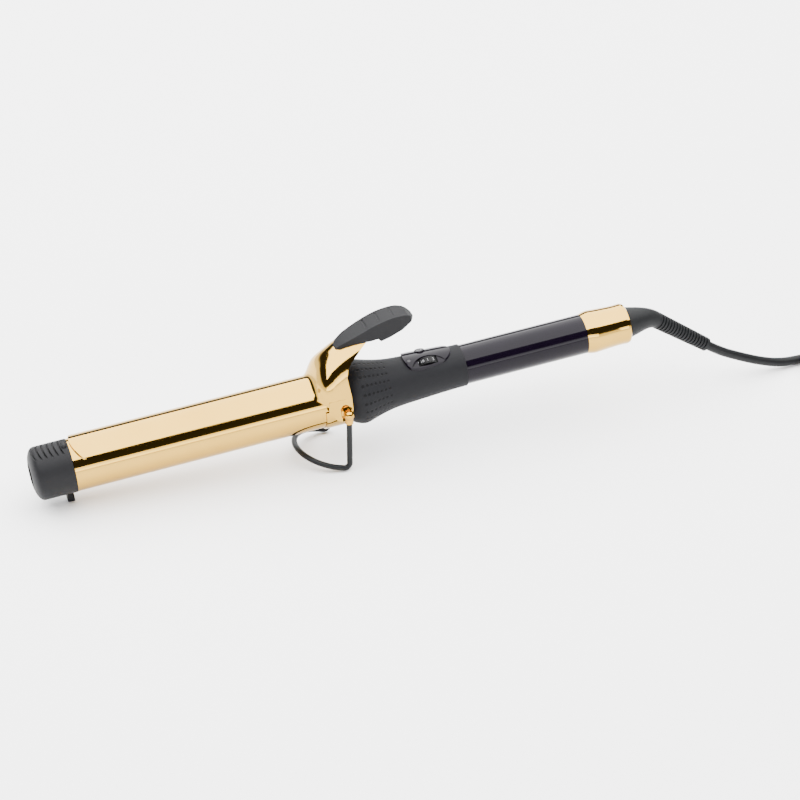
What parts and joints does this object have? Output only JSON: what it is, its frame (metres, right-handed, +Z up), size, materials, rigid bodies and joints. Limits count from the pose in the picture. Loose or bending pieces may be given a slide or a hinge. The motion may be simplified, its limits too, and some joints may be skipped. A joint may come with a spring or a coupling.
{
  "type": "curling iron",
  "caption": "Spring-clamp curling iron resting on its wire stand and tip foot, with a thumbwheel, a push button and a tied mains lead.",
  "frame": {"origin": "on the table, below the middle of the iron's length without its lead", "axes": "+X from the tip towards the handle and lead, +Z up, -Y the side that shows the dial"},
  "size_m": [0.6397, 0.0725, 0.0918],
  "materials": {
    "polished_gold": "polished",
    "stud_gold": "polished",
    "stand_wire_black": "satin",
    "gloss_black": "gloss",
    "soft_charcoal": "matte",
    "lead_rubber": "satin",
    "relief_black": "satin",
    "plug_black": "satin",
    "tie_black": "matte",
    "dial_black": "satin",
    "bright_steel": "satin",
    "bare_aluminium": "satin",
    "bare_brass": "polished",
    "heater_ceramic": "matte",
    "amber_film": "gloss",
    "mica_board": "matte",
    "lead_insulation": "matte",
    "board_green": "satin",
    "clear_lens": "gloss"
  },
  "bodies": {
    "iron": {"barrel_tube": "polished_gold", "tip_cap": "soft_charcoal", "tip_foot": "soft_charcoal", "tip_plug": "mica_board", "tip_screw": "bright_steel", "heat_spreader_upper": "bare_aluminium", "heat_spreader_lower": "bare_aluminium", "insulation_film": "amber_film", "heater_plates": "heater_ceramic", "heater_leads": "lead_insulation", "thermal_fuse": "bright_steel", "temperature_sensor": "lead_insulation", "rear_collar": "soft_charcoal", "clamp_bracket": "polished_gold", "pivot_studs": "stud_gold", "clamp_spring": "bright_steel", "grip_sleeve": "soft_charcoal", "control_panel": "gloss_black", "indicator_lens": "clear_lens", "rheostat": "bright_steel", "dial_bracket": "bright_steel", "button_switch": "gloss_black", "handle_tube": "gloss_black", "control_board": "board_green", "board_parts": "gloss_black", "board_cradle": "mica_board", "end_ferrule": "polished_gold", "contact_block": "mica_board", "contact_pins": "bare_brass"},
    "clamp": {"clamp_spoon": "polished_gold", "thumb_rest": "soft_charcoal", "thumb_rest_screws": "bright_steel"},
    "stand": {"stand_wire": "stand_wire_black", "stand_collars": "stud_gold"},
    "dial": {"temperature_dial": "dial_black", "dial_shaft": "bright_steel"},
    "button": {"power_button": "gloss_black"},
    "swivel": {"swivel_elbow": "relief_black", "slip_rings": "bare_brass", "strain_relief": "relief_black", "mains_cord": "lead_rubber", "cord_hank": "lead_rubber", "cord_tail": "lead_rubber", "cord_tie": "tie_black", "plug_body": "plug_black", "plug_blades": "bare_brass"}
  },
  "joints": [
    {"name": "clamp_hinge", "type": "hinge", "parent": "iron", "child": "clamp", "pos_m": [-0.027, 0, 0.0387], "axis": [0, 1, 0], "range_deg": [0, 26], "stiffness_Nm_per_rad": 0.3, "springref_deg": -17.19, "deforming": ["clamp_spring"]},
    {"name": "stand_hinge", "type": "hinge", "parent": "iron", "child": "stand", "pos_m": [-0.027, 0, 0.0387], "axis": [0, 1, 0], "range_deg": [-90, 15]},
    {"name": "dial_turn", "type": "hinge", "parent": "iron", "child": "dial", "pos_m": [0.02832, -0.0023, 0.04883], "axis": [-0.0362, 0.9135, 0.4051], "range_deg": [-135, 135]},
    {"name": "button_press", "type": "slide", "parent": "iron", "child": "button", "axis": [0.0856, -0.2756, -0.9574], "range_m": [0, 0.0008], "stiffness_N_per_m": 1200},
    {"name": "cord_swivel", "type": "hinge", "parent": "iron", "child": "swivel", "pos_m": [0.15806, 0, 0.05524], "axis": [0.996, 0, 0.089], "continuous": true}
  ]
}
